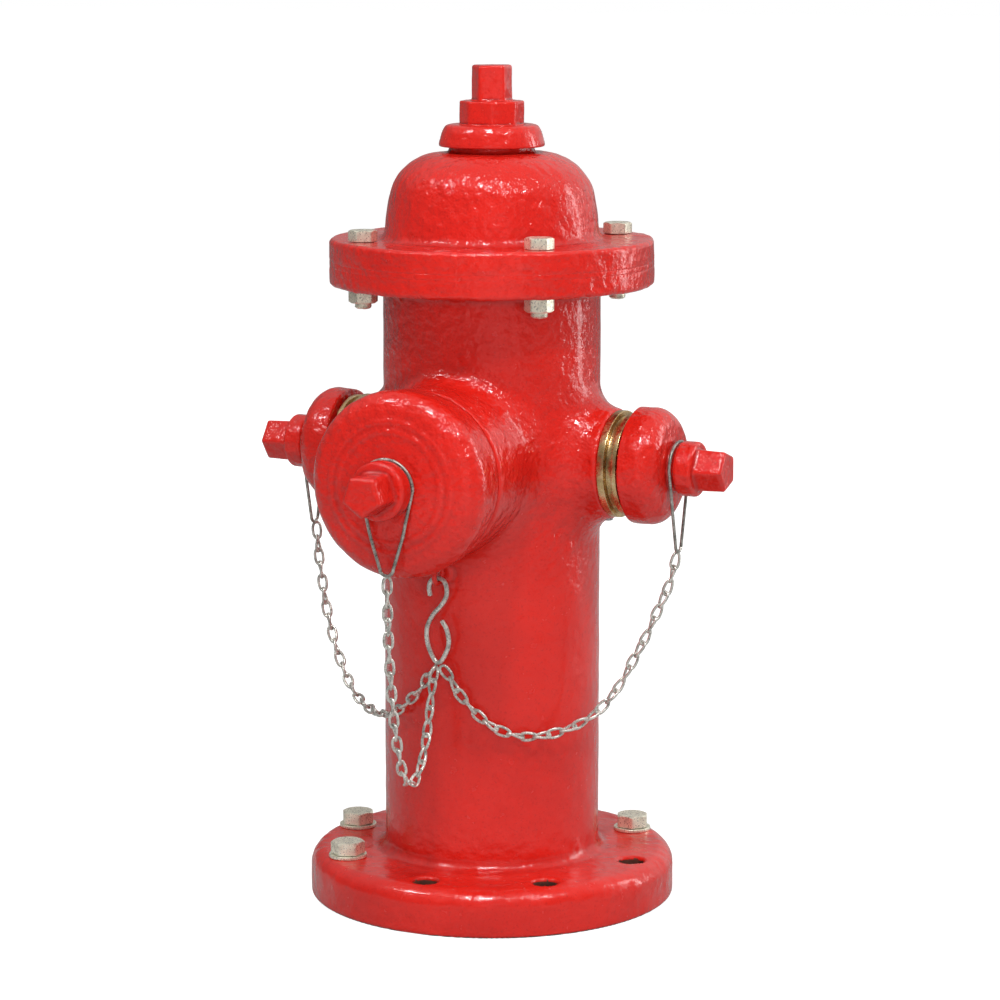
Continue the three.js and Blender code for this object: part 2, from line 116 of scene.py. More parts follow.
def add_camera():
    data = bpy.data.cameras.new("camera")
    data.sensor_width = 36.0
    data.lens = 121.7
    camera = bpy.data.objects.new("camera", data)
    bpy.context.collection.objects.link(camera)
    right = Vector((math.cos(CAMERA_AZIMUTH), math.sin(CAMERA_AZIMUTH), 0))
    camera.location = around(3.17, math.degrees(CAMERA_AZIMUTH), 0.92)
    aim = Vector((0, 0, 0.380)) + right * 0.0076
    camera.rotation_euler = (aim - camera.location).to_track_quat("-Z", "Y").to_euler()
    bpy.context.scene.camera = camera


def add_light(name, azimuth, distance, height, size, watts, glints=True):
    data = bpy.data.lights.new(name, "AREA")
    data.shape = "RECTANGLE"
    data.size, data.size_y = size
    data.energy = watts
    light = bpy.data.objects.new(name, data)
    bpy.context.collection.objects.link(light)
    light.location = around(distance, azimuth, height)
    light.visible_glossy = glints
    aim = Vector((0, 0, 0.4))
    light.rotation_euler = (aim - light.location).to_track_quat("-Z", "Y").to_euler()


def add_stage():
    """A pale floor that looks white, with a faint shadow where the hydrant stands."""
    mesh = bpy.data.meshes.new("floor")
    reach = 30.0
    corners = [(-reach, -reach, 0), (reach, -reach, 0), (reach, reach, 0), (-reach, reach, 0)]
    mesh.from_pydata(corners, [], [(0, 1, 2, 3)])
    floor = bpy.data.objects.new("floor", mesh)
    bpy.context.collection.objects.link(floor)
    material = bpy.data.materials.new("floor")
    material.use_nodes = True
    tree = material.node_tree
    surface = tree.nodes["Principled BSDF"]
    surface.inputs["Base Color"].default_value = (0.42, 0.42, 0.42, 1)
    surface.inputs["Roughness"].default_value = 0.9
    surface.inputs["Specular IOR Level"].default_value = 0.0
    surface.inputs["Emission Color"].default_value = (1, 1, 1, 1)
    seen = tree.nodes.new("ShaderNodeLightPath")
    glow = tree.nodes.new("ShaderNodeMath")
    glow.operation = "MULTIPLY"
    glow.inputs[1].default_value = 0.82
    tree.links.new(seen.outputs["Is Camera Ray"], glow.inputs[0])
    tree.links.new(glow.outputs["Value"], surface.inputs["Emission Strength"])
    mesh.materials.append(material)


def add_world():
    """A studio that is bright above, darker at the horizon, and white behind the hydrant."""
    bpy.context.scene.view_settings.view_transform = "Standard"
    world = bpy.data.worlds.new("studio")
    bpy.context.scene.world = world
    world.use_nodes = True
    tree = world.node_tree
    background = tree.nodes["Background"]
    direction = tree.nodes.new("ShaderNodeTexCoord").outputs["Generated"]

    def glow_towards(axis, low, high, start, stop):
        along = tree.nodes.new("ShaderNodeVectorMath")
        along.operation = "DOT_PRODUCT"
        along.inputs[1].default_value = axis
        tree.links.new(direction, along.inputs[0])
        level = tree.nodes.new("ShaderNodeMapRange")
        level.interpolation_type = "SMOOTHSTEP"
        values = {"From Min": start, "From Max": stop, "To Min": low, "To Max": high}
        for socket, value in values.items():
            level.inputs[socket].default_value = value
        tree.links.new(along.outputs["Value"], level.inputs["Value"])
        return level.outputs["Result"]

    above = glow_towards((0, 0, 1), *WORLD["above"])
    beside = glow_towards(around(1.0, math.degrees(CAMERA_AZIMUTH) + 125), *WORLD["beside"])
    total = tree.nodes.new("ShaderNodeMath")
    total.operation = "ADD"
    tree.links.new(above, total.inputs[0])
    tree.links.new(beside, total.inputs[1])
    seen = tree.nodes.new("ShaderNodeLightPath")
    strength = tree.nodes.new("ShaderNodeMath")
    strength.operation = "MAXIMUM"
    tree.links.new(total.outputs["Value"], strength.inputs[0])
    tree.links.new(seen.outputs["Is Camera Ray"], strength.inputs[1])
    tree.links.new(strength.outputs["Value"], background.inputs["Strength"])
    background.inputs["Color"].default_value = (1.0, 1.0, 1.0, 1)


add_camera()
add_stage()
add_world()
view_side = math.degrees(CAMERA_AZIMUTH)
add_light("key", view_side - 10, 1.5, 2.9, (0.26, 0.26), 33)
add_light("right_key", view_side + 40, 1.8, 2.4, (0.20, 0.20), 15)
add_light("left_key", view_side - 70, 1.7, 2.4, (0.22, 0.22), 12)
add_light("front_fill", view_side + 4, 3.2, 0.9, (2.0, 1.2), 50, glints=False)
add_light("back_fill", view_side + 180, 3.2, 1.4, (2.0, 1.2), 34, glints=False)
add_light("right_strip", view_side + 104, 2.2, 0.9, (0.25, 1.6), 11)


# ---- Mesh making -------------------------------------------------------------------------------


def new_mesh(name, points, faces, smooth_angle=None):
    """A mesh from points in millimetres. Edges sharper than smooth_angle stay crisp."""
    mesh = bpy.data.meshes.new(name)
    points = np.asarray(points, float) * MM
    mesh.vertices.add(len(points))
    mesh.vertices.foreach_set("co", points.astype(np.float32).ravel())
    counts = np.array([len(f) for f in faces], np.int32)
    starts = np.concatenate([[0], np.cumsum(counts)[:-1]]).astype(np.int32)
    corners = np.concatenate([np.asarray(f, np.int32) for f in faces])
    mesh.loops.add(len(corners))
    mesh.loops.foreach_set("vertex_index", corners)
    mesh.polygons.add(len(counts))
    mesh.polygons.foreach_set("loop_start", starts)
    mesh.update(calc_edges=True)
    mesh.validate()
    mesh.shade_smooth()
    if smooth_angle:
        mesh.set_sharp_from_angle(angle=math.radians(smooth_angle))
    return mesh


def add_piece(mesh, node, material, body="root", placing=None, name=None):
    """Stands a new piece for a CAD node, on that node's body."""
    piece = bpy.data.objects.new(name or node + "_piece", mesh)
    bpy.context.collection.objects.link(piece)
    if placing is not None:
        piece.matrix_world = placing
    mesh.materials.append(material)
    if node:
        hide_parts(node)
    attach(piece, body)
    return piece


def coat_faces(mesh, material, chosen):
    """Gives the faces whose middles are chosen(x, y, z), in millimetres, a second material."""
    mesh.materials.append(material)
    middles = np.empty(len(mesh.polygons) * 3, np.float32)
    mesh.polygons.foreach_get("center", middles)
    middles = middles.reshape(-1, 3) / MM
    index = np.where(chosen(*middles.T), len(mesh.materials) - 1, 0).astype(np.int32)
    mesh.polygons.foreach_set("material_index", index)


def lattice_noise(points, wavelength, seed):
    """Smooth noise from -1 to 1 at points, from a seeded lattice of random values."""
    size = 48
    values = np.random.default_rng(seed).uniform(-1, 1, (size, size, size))
    scaled = points / wavelength + 100.0
    cell = np.floor(scaled).astype(int)
    t = scaled - cell
    t = t * t * t * (t * (t * 6 - 15) + 10)
    total = np.zeros(len(points))
    for dx in (0, 1):
        for dy in (0, 1):
            for dz in (0, 1):
                weight = (
                    (t[:, 0] if dx else 1 - t[:, 0])
                    * (t[:, 1] if dy else 1 - t[:, 1])
                    * (t[:, 2] if dz else 1 - t[:, 2])
                )
                corner = (cell + (dx, dy, dz)) % size
                total += weight * values[corner[:, 0], corner[:, 1], corner[:, 2]]
    return total


def field_gradient(field, points, step=0.05):
    gradient = np.empty_like(points)
    for axis in range(3):
        ahead, behind = points.copy(), points.copy()
        ahead[:, axis] += step
        behind[:, axis] -= step
        gradient[:, axis] = (field(*ahead.T) - field(*behind.T)) / (2 * step)
    return gradient / np.maximum(np.linalg.norm(gradient, axis=1, keepdims=True), 1e-6)


def casting_mesh(name, field, low, high, voxel, lumps=(), keep_flat=None):
    """The surface of a distance field, in millimetres, with the soft unevenness of sand casting.
    lumps holds (wavelength, height) pairs. keep_flat(points) scales them from 0 to 1."""
    axes = [np.arange(low[i] - 2 * voxel, high[i] + 3 * voxel, voxel) for i in range(3)]
    shape = tuple(len(a) for a in axes)
    values = field(axes[0][:, None, None], axes[1][None, :, None], axes[2][None, None, :])
    values = np.broadcast_to(values, shape)
    limit = 3 * voxel
    grid = openvdb.FloatGrid(background=limit)
    grid.copyFromArray(np.ascontiguousarray(np.clip(values, -limit, limit), dtype=np.float32))
    points, quads = grid.convertToQuads(isovalue=0.0)
    points = points.astype(float) * voxel + [a[0] for a in axes]
    for _ in range(2):
        step = np.clip(field(*points.T), -voxel, voxel)
        points -= field_gradient(field, points) * step[:, None]
    normals = field_gradient(field, points)
    height = sum(
        (lattice_noise(points, wavelength, 7 + i) * size for i, (wavelength, size) in enumerate(lumps)),
        np.zeros(len(points)),
    )
    if keep_flat is not None:
        height *= keep_flat(points)
    points += normals * height[:, None]
    quads = quads.astype(int)
    a, b, c = points[quads[:, 0]], points[quads[:, 1]], points[quads[:, 2]]
    outward = np.einsum("ij,ij->i", np.cross(b - a, c - a), normals[quads[:, 0]]).sum() > 0
    if not outward:
        quads = quads[:, ::-1]
    return new_mesh(name, points, quads)


def round_min(a, b, radius):
    """Joins two fields with a fillet of that radius."""
    inner = np.hypot(np.maximum(radius - a, 0), np.maximum(radius - b, 0))
    return np.maximum(np.minimum(a, b), radius) - inner


def round_max(a, b, radius):
    """Cuts one field by another and rounds the edge to that radius."""
    outer = np.hypot(np.maximum(a + radius, 0), np.maximum(b + radius, 0))
    return np.minimum(np.maximum(a, b), -radius) + outer


def soften(outline, radius, steps=4):
    """Rounds each corner of a closed outline with a short curve."""
    result = []
    count = len(outline)
    for i in range(count):
        before, here, after = (np.array(outline[(i + k) % count], float) for k in (-1, 0, 1))
        reach = [min(radius, 0.45 * np.linalg.norm(p - here)) for p in (before, after)]
        start = here + (before - here) / np.linalg.norm(before - here) * reach[0]
        end = here + (after - here) / np.linalg.norm(after - here) * reach[1]
        for k in range(steps + 1):
            t = k / steps
            result.append(tuple((1 - t) ** 2 * start + 2 * t * (1 - t) * here + t * t * end))
    return result


def lathe_mesh(name, outline, segments=120, smooth_angle=50):
    """A ring of revolution about Z from a closed outline of (radius, z) points."""
    points, faces = [], []
    count = len(outline)
    area = sum(
        outline[i][0] * outline[(i + 1) % count][1] - outline[(i + 1) % count][0] * outline[i][1]
        for i in range(count)
    )
    ordered = outline if area > 0 else outline[::-1]
    for k in range(segments):
        a = 2 * math.pi * k / segments
        points += [(r * math.cos(a), r * math.sin(a), z) for r, z in ordered]
    for k in range(segments):
        here, there = k * count, (k + 1) % segments * count
        for i in range(count):
            j = (i + 1) % count
            faces.append((here + i, there + i, there + j, here + j))
    return new_mesh(name, points, faces, smooth_angle)


def smooth_path(points, spacing):
    """A Catmull-Rom curve through points, as points evenly spaced along it."""
    p = np.asarray(points, float)
    padded = np.vstack([2 * p[0] - p[1], p, 2 * p[-1] - p[-2]])
    dense = []
    for i in range(len(p) - 1):
        a, b, c, d = padded[i : i + 4]
        for t in np.linspace(0, 1, 20, endpoint=False):
            dense.append(
                0.5 * (2 * b + (c - a) * t + (2 * a - 5 * b + 4 * c - d) * t**2
                       + (3 * b - a - 3 * c + d) * t**3)
            )
    dense = np.array(dense + [p[-1]])
    along = np.concatenate([[0], np.cumsum(np.linalg.norm(np.diff(dense, axis=0), axis=1))])
    steps = max(2, int(round(along[-1] / spacing)) + 1)
    at = np.linspace(0, along[-1], steps)
    return np.stack([np.interp(at, along, dense[:, i]) for i in range(3)], axis=1), along[-1]


def tube_arrays(path, radius, sides, closed):
    """Points and faces of a round bar along a path, with rounded ends unless it is closed."""
    path = np.asarray(path, float)
    count = len(path)
    if closed:
        tangents = np.roll(path, -1, axis=0) - np.roll(path, 1, axis=0)
    else:
        tangents = np.gradient(path, axis=0)
    tangents /= np.linalg.norm(tangents, axis=1, keepdims=True)
    normal = np.cross(tangents[0], (0.3, 0.2, 1.0))
    points, faces = [], []
    for k in range(count):
        normal -= tangents[k] * np.dot(normal, tangents[k])
        normal /= np.linalg.norm(normal)
        side = np.cross(tangents[k], normal)
        for i in range(sides):
            a = 2 * math.pi * i / sides
            points.append(path[k] + radius * (math.cos(a) * normal + math.sin(a) * side))
    for k in range(count if closed else count - 1):
        here, there = k * sides, (k + 1) % count * sides
        for i in range(sides):
            j = (i + 1) % sides
            faces.append((here + i, here + j, there + j, there + i))
    if not closed:
        tips = (path[0] - tangents[0] * radius * 0.5, path[-1] + tangents[-1] * radius * 0.5)
        points += list(tips)
        last = (count - 1) * sides
        for i in range(sides):
            j = (i + 1) % sides
            faces.append((count * sides, j, i))
            faces.append((count * sides + 1, last + i, last + j))
    return points, faces


# ---- Materials ---------------------------------------------------------------------------------


class Shader:
    """A node material: noise-driven colour, roughness and bump around one Principled shader."""

    def __init__(self, name):
        self.material = bpy.data.materials.new(name)
        self.material.use_nodes = True
        self.tree = self.material.node_tree
        self.surface = self.tree.nodes["Principled BSDF"]
        self.place = self.tree.nodes.new("ShaderNodeTexCoord").outputs["Object"]
        self.normal = None

    def noise(self, scale, detail=3.0, roughness=0.55):
        node = self.tree.nodes.new("ShaderNodeTexNoise")
        node.inputs["Scale"].default_value = scale
        node.inputs["Detail"].default_value = detail
        node.inputs["Roughness"].default_value = roughness
        self.tree.links.new(self.place, node.inputs["Vector"])
        return node.outputs["Fac"]

    def ramp(self, factor, stops):
        node = self.tree.nodes.new("ShaderNodeValToRGB")
        elements = node.color_ramp.elements
        while len(elements) < len(stops):
            elements.new(0.5)
        for element, (position, colour) in zip(elements, stops):
            element.position = position
            element.color = (*colour, 1)
        self.tree.links.new(factor, node.inputs["Fac"])
        return node.outputs["Color"]

    def mix(self, factor, first, second, blend="MIX"):
        node = self.tree.nodes.new("ShaderNodeMix")
        node.data_type = "RGBA"
        node.blend_type = blend
        for socket, value in (("Factor", factor), ("A", first), ("B", second)):
            index = {"Factor": 0, "A": 6, "B": 7}[socket]
            if hasattr(value, "links"):
                self.tree.links.new(value, node.inputs[index])
            elif socket == "Factor":
                node.inputs[index].default_value = value
            else:
                node.inputs[index].default_value = (*value, 1)
        return node.outputs[2]

    def map_range(self, factor, low, high, from_low=0.3, from_high=0.7):
        node = self.tree.nodes.new("ShaderNodeMapRange")
        node.inputs["From Min"].default_value = from_low
        node.inputs["From Max"].default_value = from_high
        node.inputs["To Min"].default_value = low
        node.inputs["To Max"].default_value = high
        self.tree.links.new(factor, node.inputs["Value"])
        return node.outputs["Result"]

    def fade_above(self, value, height):
        """The value at full strength above a height, and a third of it below."""
        parts = self.tree.nodes.new("ShaderNodeSeparateXYZ")
        self.tree.links.new(self.place, parts.inputs["Vector"])
        share = self.map_range(parts.outputs["Z"], 0.33, 1.0, height - 0.04, height + 0.03)
        product = self.tree.nodes.new("ShaderNodeMath")
        product.operation = "MULTIPLY"
        self.tree.links.new(value, product.inputs[0])
        self.tree.links.new(share, product.inputs[1])
        return product.outputs["Value"]

    def bump(self, height, distance):
        node = self.tree.nodes.new("ShaderNodeBump")
        node.inputs["Distance"].default_value = distance
        node.inputs["Strength"].default_value = 1.0
        self.tree.links.new(height, node.inputs["Height"])
        if self.normal is not None:
            self.tree.links.new(self.normal, node.inputs["Normal"])
        self.normal = node.outputs["Normal"]

    def finish(self, colour, roughness, **uniform):
        self.tree.links.new(colour, self.surface.inputs["Base Color"])
        self.tree.links.new(roughness, self.surface.inputs["Roughness"])
        if self.normal is not None:
            self.tree.links.new(self.normal, self.surface.inputs["Normal"])
        for socket, value in uniform.items():
            self.surface.inputs[socket.replace("_", " ")].default_value = value
        return self.material


def enamel(name, grain, smooth_below=None):
    """Glossy red enamel over a sand casting. grain scales how rough the iron under it is.
    The iron is smoother below the height smooth_below, in metres."""
    s = Shader(name)
    tone = s.ramp(s.noise(11.0, 4.0), [(0.3, (0.54, 0.0110, 0.0065)), (0.7, (0.64, 0.0155, 0.0090))])
    speck = s.map_range(s.noise(420.0, 2.0, 0.6), 0.0, 0.35, 0.56, 0.72)
    tone = s.mix(speck, tone, (0.30, 0.004, 0.004))
    geometry = s.tree.nodes.new("ShaderNodeNewGeometry")
    # Painted shade: the red is darkened where the surface curves inwards, in creases and hollows, where
    # shade falls.
    recess_shade = s.map_range(geometry.outputs["Pointiness"], 1.0, 0.0, 0.44, 0.5)
    colour = s.mix(recess_shade, tone, (0.20, 0.004, 0.004))
    lumps = s.noise(110.0, 2.0, 0.5)
    if smooth_below:
        lumps = s.fade_above(lumps, smooth_below)
    s.bump(s.noise(34.0, 2.0, 0.5), 0.0020 * grain)
    s.bump(lumps, 0.0027 * grain)
    s.bump(s.noise(620.0, 2.0, 0.6), 0.00016 * grain)
    roughness = s.map_range(s.noise(75.0, 3.0), 0.13, 0.28)
    return s.finish(
        colour, roughness, Coat_Weight=0.26, Coat_Roughness=0.06, Specular_IOR_Level=0.40, Metallic=0.0
    )


def bare_iron(name):
    """The unpainted, lightly rusted casting inside the barrel and its bolt holes."""
    s = Shader(name)
    rust = s.noise(60.0, 5.0, 0.65)
    colour = s.ramp(rust, [(0.35, (0.055, 0.018, 0.012)), (0.7, (0.150, 0.045, 0.024))])
    s.bump(s.noise(260.0, 4.0, 0.6), 0.0008)
    return s.finish(colour, s.map_range(s.noise(90.0, 3.0), 0.6, 0.85), Metallic=0.0)


def zinc(name, tones, metallic=0.7, grime=0.8):
    """Worn zinc plate. tones are its dark, middle and bright colours, grime how dirty it is."""
    s = Shader(name)
    tone = s.ramp(s.noise(170.0, 3.0), list(zip((0.28, 0.50, 0.75), tones)))
    dirt = s.map_range(s.noise(520.0, 3.0, 0.6), 0.0, grime, 0.56, 0.74)
    colour = s.mix(dirt, tone, (0.10, 0.09, 0.07))
    geometry = s.tree.nodes.new("ShaderNodeNewGeometry")
    # Painted shade: the zinc is darkened where the surface curves inwards, in creases and hollows, where
    # shade falls.
    recess_shade = s.map_range(geometry.outputs["Pointiness"], 1.0, 0.0, 0.42, 0.5)
    colour = s.mix(recess_shade, colour, (0.07, 0.06, 0.05))
    s.bump(s.noise(1100.0, 2.0), 0.00009)
    return s.finish(colour, s.map_range(s.noise(500.0, 2.0), 0.22, 0.42), Metallic=metallic)


def bronze(name):
    s = Shader(name)
    tones = [(0.3, (0.42, 0.29, 0.12)), (0.55, (0.74, 0.55, 0.28)), (0.8, (0.90, 0.76, 0.48))]
    tone = s.ramp(s.noise(70.0, 4.0), tones)
    geometry = s.tree.nodes.new("ShaderNodeNewGeometry")
    # Painted shade: the bronze is darkened where the surface curves inwards, in grooves and hollows, where
    # shade falls.
    recess_shade = s.map_range(geometry.outputs["Pointiness"], 1.0, 0.0, 0.42, 0.5)
    colour = s.mix(recess_shade, tone, (0.09, 0.035, 0.012))
    s.bump(s.noise(700.0, 2.0), 0.00008)
    return s.finish(colour, s.map_range(s.noise(300.0, 2.0), 0.20, 0.38), Metallic=1.0)


def steel(name):
    s = Shader(name)
    colour = s.ramp(s.noise(120.0, 3.0), [(0.3, (0.28, 0.28, 0.29)), (0.75, (0.56, 0.56, 0.57))])
    s.bump(s.noise(900.0, 2.0), 0.00006)
    return s.finish(colour, s.map_range(s.noise(400.0, 2.0), 0.30, 0.5), Metallic=1.0)


def rubber(name):
    s = Shader(name)
    colour = s.ramp(s.noise(200.0, 3.0), [(0.3, (0.012, 0.012, 0.013)), (0.75, (0.035, 0.035, 0.036))])
    s.bump(s.noise(1200.0, 2.0), 0.00008)
    return s.finish(colour, s.map_range(s.noise(400.0, 2.0), 0.65, 0.9))


PAINT = enamel("red_enamel", 1.0)
PAINT_NUTS = enamel("red_enamel_nuts", 0.55)
PAINT_BARREL = enamel("red_enamel_barrel", 1.0, 0.34)
ZINC = zinc("zinc_plate", [(0.34, 0.33, 0.30), (0.66, 0.65, 0.60), (0.86, 0.85, 0.78)])
BOLT_ZINC = zinc("zinc_bolts", [(0.50, 0.47, 0.38), (0.84, 0.81, 0.66), (0.95, 0.92, 0.76)], 0.72, 0.0)
WIRE_ZINC = zinc("zinc_wire", [(0.16, 0.16, 0.14), (0.34, 0.33, 0.30), (0.62, 0.61, 0.56)])
BRONZE = bronze("bronze")
STEEL = steel("bare_steel")
RUBBER = rubber("black_rubber")
IRON = bare_iron("bare_iron")


# ---- Chains, loops and hook: the free cords come first ------------------------------------------

# Points along each chain, in metres, from its loop down and back up to the hook
CHAIN_ROUTES = {
    "right": [
        (0.1895, 0, 0.341), (0.187, -0.001, 0.328), (0.183, -0.003, 0.312), (0.178, -0.006, 0.298),
        (0.173, -0.009, 0.285), (0.165, -0.014, 0.264), (0.156, -0.020, 0.244), (0.146, -0.026, 0.222),
        (0.135, -0.034, 0.204), (0.122, -0.043, 0.190), (0.106, -0.055, 0.180), (0.089, -0.069, 0.175),
        (0.072, -0.084, 0.175), (0.055, -0.096, 0.181), (0.040, -0.104, 0.192), (0.027, -0.109, 0.206),
        (0.017, -0.112, 0.219), (0.010, -0.114, 0.232),
    ],
    "left": [
        (-0.1895, 0, 0.341), (-0.188, -0.001, 0.328), (-0.186, -0.002, 0.312), (-0.182, -0.004, 0.292),
        (-0.177, -0.007, 0.270), (-0.170, -0.011, 0.249), (-0.161, -0.017, 0.229), (-0.150, -0.024, 0.211),
        (-0.137, -0.033, 0.196), (-0.121, -0.045, 0.185), (-0.103, -0.059, 0.180), (-0.085, -0.074, 0.180),
        (-0.067, -0.088, 0.184), (-0.050, -0.099, 0.192), (-0.035, -0.106, 0.204), (-0.022, -0.110, 0.217),
        (-0.011, -0.114, 0.232),
    ],
    "pumper": [
        (0, -0.220, 0.336), (0, -0.220, 0.322), (0, -0.219, 0.304), (0, -0.218, 0.284), (0, -0.216, 0.262),
        (0, -0.213, 0.238), (0, -0.209, 0.214), (0, -0.203, 0.190), (0, -0.196, 0.168), (0, -0.187, 0.151),
        (0, -0.175, 0.143), (0, -0.162, 0.146), (0, -0.151, 0.160), (0, -0.142, 0.180), (0, -0.136, 0.201),
        (0, -0.131, 0.219), (0, -0.128, 0.232),
    ],
}
# Where each chain's last link holds the hook and its first holds the loop, in millimetres
HOOK_ENDS = {"right": (3.5, -116, 240.5), "left": (-3.5, -116, 240.5), "pumper": (0, -121, 240.5)}
LOOP_FEET = {"right": (190, 0, 342.5), "left": (-190, 0, 342.5), "pumper": (0, -220.2, 342.5)}


def link_arrays():
    """One twisted chain link, its length along X."""
    half_length = (LINK["length"] - LINK["wire"]) / 2
    half_width = (LINK["width"] - LINK["wire"]) / 2
    twist = math.radians(24)
    path = []
    for i in range(28):
        t = 2 * math.pi * i / 28
        x = half_length * math.copysign(abs(math.cos(t)) ** 0.8, math.cos(t))
        y = half_width * math.copysign(abs(math.sin(t)) ** 0.75, math.sin(t))
        turn = twist * x / half_length
        path.append((x, y * math.cos(turn), y * math.sin(turn)))
    return tube_arrays(path, LINK["wire"] / 2, 8, True)


def add_chain(side):
    route = [tuple(c / MM for c in p) for p in CHAIN_ROUTES[side]]
    whole = [LOOP_FEET[side], *route, HOOK_ENDS[side]]
    pitch = LINK["length"] - 2 * LINK["wire"]
    dense, length = smooth_path(whole, 1.0)
    count = int(round((length - LINK["length"] + 2 * LINK["wire"]) / pitch))
    along = np.linspace(0, length, len(dense))
    link_points, link_faces = link_arrays()
    link_points = np.array(link_points)
    first = LINK["length"] / 2 - LINK["wire"]
    centres = np.linspace(first, length - first, count + 1)
    points, faces = [], []
    normal = np.array((0.35, 0.25, 0.9))
    for i, at in enumerate(centres):
        centre = np.array([np.interp(at, along, dense[:, k]) for k in range(3)])
        ahead = np.array([np.interp(min(at + 4, length), along, dense[:, k]) for k in range(3)])
        behind = np.array([np.interp(max(at - 4, 0), along, dense[:, k]) for k in range(3)])
        tangent = (ahead - behind) / np.linalg.norm(ahead - behind)
        normal = normal - tangent * np.dot(normal, tangent)
        normal /= np.linalg.norm(normal)
        turn = math.radians(90 * (i % 2) + 12 * math.sin(i * 1.7))
        y = math.cos(turn) * normal + math.sin(turn) * np.cross(tangent, normal)
        turned = np.stack([tangent, y, np.cross(tangent, y)])
        start = len(points)
        points += list(link_points @ turned + centre)
        faces += [tuple(start + v for v in f) for f in link_faces]
    mesh = new_mesh("chain_" + side, points, faces)
    mesh.materials.append(ZINC)
    chain = bpy.data.objects.new("chain_" + side + "_links", mesh)
    bpy.context.collection.objects.link(chain)
    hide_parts("chain_" + side)
    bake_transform(chain)


def loop_path(side, size):
    """The long wire ring on a cap's neck: a half circle, two straight sides and a small foot."""
    outward = {"right": (1, 0), "left": (-1, 0), "pumper": (0, -1)}[side]
    low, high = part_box("chain_loop_" + side)
    reach = abs((low + high)[0] * outward[0] + (low + high)[1] * outward[1]) / 2 / MM
    top_radius, foot_radius, foot_z = size["neck"] + 2.5, 7.0, 352.0
    outline = []
    for i in range(25):
        a = math.pi * i / 24
        outline.append((top_radius * math.cos(a), NOZZLE_Z + top_radius * math.sin(a)))
    outline += [(-top_radius + 3.6 * k, NOZZLE_Z - 15 * k) for k in (1, 2, 3)]
    for i in range(13):
        a = math.pi * (1 + i / 12)
        outline.append((foot_radius * math.cos(a), foot_z + foot_radius * math.sin(a)))
    outline += [(top_radius - 3.6 * k, NOZZLE_Z - 15 * k) for k in (3, 2, 1)]
    x, y = outward
    return [(w * -y + x * reach, w * x + y * reach, z) for w, z in outline]


def add_loop(side, size):
    path = loop_path(side, size)
    path, _ = smooth_path(path + [path[0]], 2.0)
    points, faces = tube_arrays(path[:-1], 1.55, 10, True)
    mesh = new_mesh("chain_loop_" + side, points, faces)
    add_piece(mesh, "chain_loop_" + side, WIRE_ZINC, side + "_loop")


def add_hook():
    path = [
        (-8, 308), (-9, 316), (-6.4, 322.4), (0, 325), (6.4, 322.4), (9, 316), (8.5, 308), (3, 299),
        (-5, 290), (-11, 278), (-11, 264), (-6, 251), (0, 245), (6, 251), (11, 264), (9, 277), (4, 285),
    ]
    dense, _ = smooth_path([(x, HOOK_Y, z) for x, z in path], 1.6)
    points, faces = tube_arrays(dense, 2.2, 12, False)
    add_piece(new_mesh("s_hook", points, faces, 60), "s_hook", ZINC)


def add_eye():
    angles = np.linspace(0, 2 * math.pi, 40)[:-1]
    ring = [(0, HOOK_Y + 8 * math.cos(a), EYE_Z + 8 * math.sin(a)) for a in angles]
    points, faces = tube_arrays(ring, 2.5, 12, True)
    shank, shank_faces = tube_arrays([(0, y, EYE_Z) for y in (-96, -100, -105, -109)], 3.0, 14, False)
    faces += [tuple(len(points) + i for i in f) for f in shank_faces]
    add_piece(new_mesh("chain_eye", points + shank, faces, 60), "chain_eye", PAINT_NUTS)


for side_name in CHAIN_ROUTES:
    add_chain(side_name)


# ---- Castings ----------------------------------------------------------------------------------

BASE_ANGLES = [0, 45, 90, 135, 180, 225, 270, 315]
BONNET_ANGLES = [45, 135, 225, 315]


def barrel_field(x, y, z):
    r = np.hypot(x, y)
    body = np.maximum(r - BARREL_R, np.abs(z - 300) - 300)
    base = round_max(round_max(r - BASE_R, z - BASE_TOP, 16), -z, 3)
    body = round_min(body, base, 10)
    top = round_max(round_max(r - TOP_FLANGE_R, TOP_FLANGE_BOTTOM - z, 4), z - TOP_FLANGE_TOP, 1.2)
    body = round_min(body, top, 9)
    hose = round_max(np.hypot(y, z - NOZZLE_Z) - HOSE["boss"], np.abs(x) - HOSE["boss_end"], 3)
    body = round_min(body, hose, HOSE["fillet"])
    front = round_max(np.hypot(x, z - NOZZLE_Z) - PUMPER["boss"], -y - PUMPER["boss_end"], 4)
    front = np.maximum(front, y)
    body = round_min(body, front, PUMPER["fillet"])
    lug = round_max(np.hypot(x, z - EYE_Z) - 7.5, -y - 106, 2)
    body = round_min(body, np.maximum(lug, y + 90), 5)
    body = np.maximum(body, np.maximum(-z, z - TOP_FLANGE_TOP))
    body = round_max(body, WATERWAY_R - r, 1.5)
    bore = np.maximum(np.hypot(y, z - NOZZLE_Z) - HOSE["body"] - 0.4, 60 - np.abs(x))
    body = round_max(body, -bore, 1.0)
    bore = np.maximum(np.hypot(x, z - NOZZLE_Z) - PUMPER["body"] - 0.4, 60 + y)
    body = round_max(body, -bore, 1.0)
    for degrees in BASE_ANGLES:
        hx, hy, _ = around(BASE_BOLT_CIRCLE_R, degrees)
        hole = np.maximum(np.hypot(x - hx, y - hy) - BASE_HOLE_R, z - 70)
        body = round_max(body, -hole, 1.0)
    for degrees in BONNET_ANGLES:
        hx, hy, _ = around(BONNET_BOLT_CIRCLE_R, degrees)
        hole = np.maximum(np.hypot(x - hx, y - hy) - 9, 540 - z)
        body = round_max(body, -hole, 1.0)
    return body


